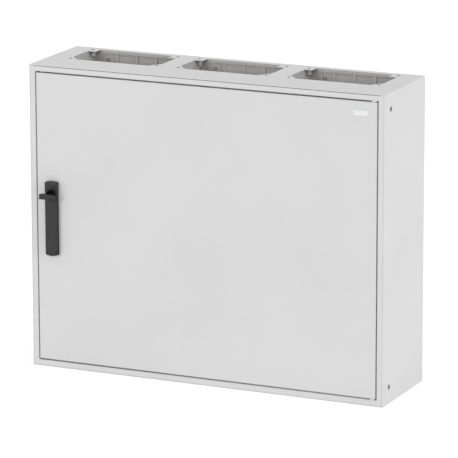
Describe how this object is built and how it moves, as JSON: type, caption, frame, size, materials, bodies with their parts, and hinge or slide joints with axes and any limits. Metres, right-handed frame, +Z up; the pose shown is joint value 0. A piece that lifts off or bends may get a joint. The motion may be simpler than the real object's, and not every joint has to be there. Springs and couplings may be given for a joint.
{
  "type": "switchboard cabinet",
  "caption": "Wall-mounted sheet-steel switchboard cabinet with a hinged flush door, a black swing-lever lock driving two rods, flanged cable entries in the top and rails inside.",
  "frame": {"origin": "under the middle of the base, halfway between the lever's tip and the back sheet", "axes": "+X to the hinge side, +Y from the door to the back, +Z up"},
  "size_m": [0.8, 0.264, 0.65],
  "materials": {
    "light_grey_powder_coat": "fine-textured satin powder coat",
    "black_plastic": "fine-grained satin",
    "grey_plastic": "satin",
    "galvanised_steel": "zinc plated",
    "bright_steel": "turned",
    "dark_grey_plastic": "satin",
    "blackened_steel": "black oxide",
    "brass": "drawn",
    "black_foam_rubber": "foam",
    "white_label": "smooth, blank"
  },
  "bodies": {
    "cabinet": {"side_panel_left": "light_grey_powder_coat", "side_panel_right": "light_grey_powder_coat", "top_panel": "light_grey_powder_coat", "base_panel": "light_grey_powder_coat", "rear_panel": "light_grey_powder_coat", "front_frame": "light_grey_powder_coat", "base_flange_plate_left": "light_grey_powder_coat", "base_flange_plate_middle": "light_grey_powder_coat", "base_flange_plate_right": "light_grey_powder_coat", "flange_collar_left": "grey_plastic", "flange_collar_middle": "grey_plastic", "flange_collar_right": "grey_plastic", "din_rail_1": "galvanised_steel", "din_rail_2": "galvanised_steel", "din_rail_3": "galvanised_steel", "din_rail_4": "galvanised_steel", "mounting_post_left": "galvanised_steel", "mounting_post_right": "galvanised_steel", "earth_bar": "brass", "earth_bar_support_left": "grey_plastic", "earth_bar_support_right": "grey_plastic", "hinge_bracket_lower": "light_grey_powder_coat", "hinge_bracket_upper": "light_grey_powder_coat", "hinge_pin_lower": "bright_steel", "hinge_pin_upper": "bright_steel", "door_buffer": "grey_plastic", "flange_screw_left_1": "blackened_steel", "flange_screw_left_2": "blackened_steel", "flange_screw_left_3": "blackened_steel", "flange_screw_left_4": "blackened_steel", "flange_screw_middle_1": "blackened_steel", "flange_screw_middle_2": "blackened_steel", "flange_screw_middle_3": "blackened_steel", "flange_screw_middle_4": "blackened_steel", "flange_screw_right_1": "blackened_steel", "flange_screw_right_2": "blackened_steel", "flange_screw_right_3": "blackened_steel", "flange_screw_right_4": "blackened_steel", "side_screw_left_lower": "dark_grey_plastic", "side_screw_left_upper": "dark_grey_plastic", "side_screw_right_lower": "dark_grey_plastic", "side_screw_right_upper": "dark_grey_plastic"},
    "door": {"door_panel": "light_grey_powder_coat", "door_gasket": "black_foam_rubber", "door_stiffener": "light_grey_powder_coat", "label_plate": "white_label", "handle_base": "black_plastic", "lock_case": "galvanised_steel", "hinge_block_lower": "galvanised_steel", "hinge_block_upper": "galvanised_steel", "rod_guide_lower": "black_plastic", "rod_guide_upper": "black_plastic"},
    "spindle": {"spindle": "bright_steel", "lock_pinion": "bright_steel"},
    "lever": {"lever": "black_plastic", "lever_pin": "bright_steel"},
    "upper_rod": {"locking_rod_upper": "galvanised_steel"},
    "lower_rod": {"locking_rod_lower": "galvanised_steel"}
  },
  "joints": [
    {"name": "door_hinge", "type": "hinge", "parent": "cabinet", "child": "door", "pos_m": [0.377, -0.0825, 0.325], "axis": [0, 0, 1], "range_deg": [0, 115]},
    {"name": "lever_turn", "type": "hinge", "parent": "door", "child": "spindle", "pos_m": [-0.34835, -0.088, 0.259], "axis": [0, 1, 0], "range_deg": [0, 90]},
    {"name": "lever_lift", "type": "hinge", "parent": "spindle", "child": "lever", "pos_m": [-0.34835, -0.0961, 0.259], "axis": [1, 0, 0], "range_deg": [0, 25]},
    {"name": "upper_rod_slide", "type": "slide", "parent": "door", "child": "upper_rod", "axis": [0, 0, -1], "range_m": [0, 0.008]},
    {"name": "lower_rod_slide", "type": "slide", "parent": "door", "child": "lower_rod", "axis": [0, 0, 1], "range_m": [0, 0.008]}
  ],
  "couplings": [
    {"joint": "upper_rod_slide", "follows": "lever_turn", "m_per_rad": 0.005},
    {"joint": "lower_rod_slide", "follows": "lever_turn", "m_per_rad": 0.005}
  ]
}
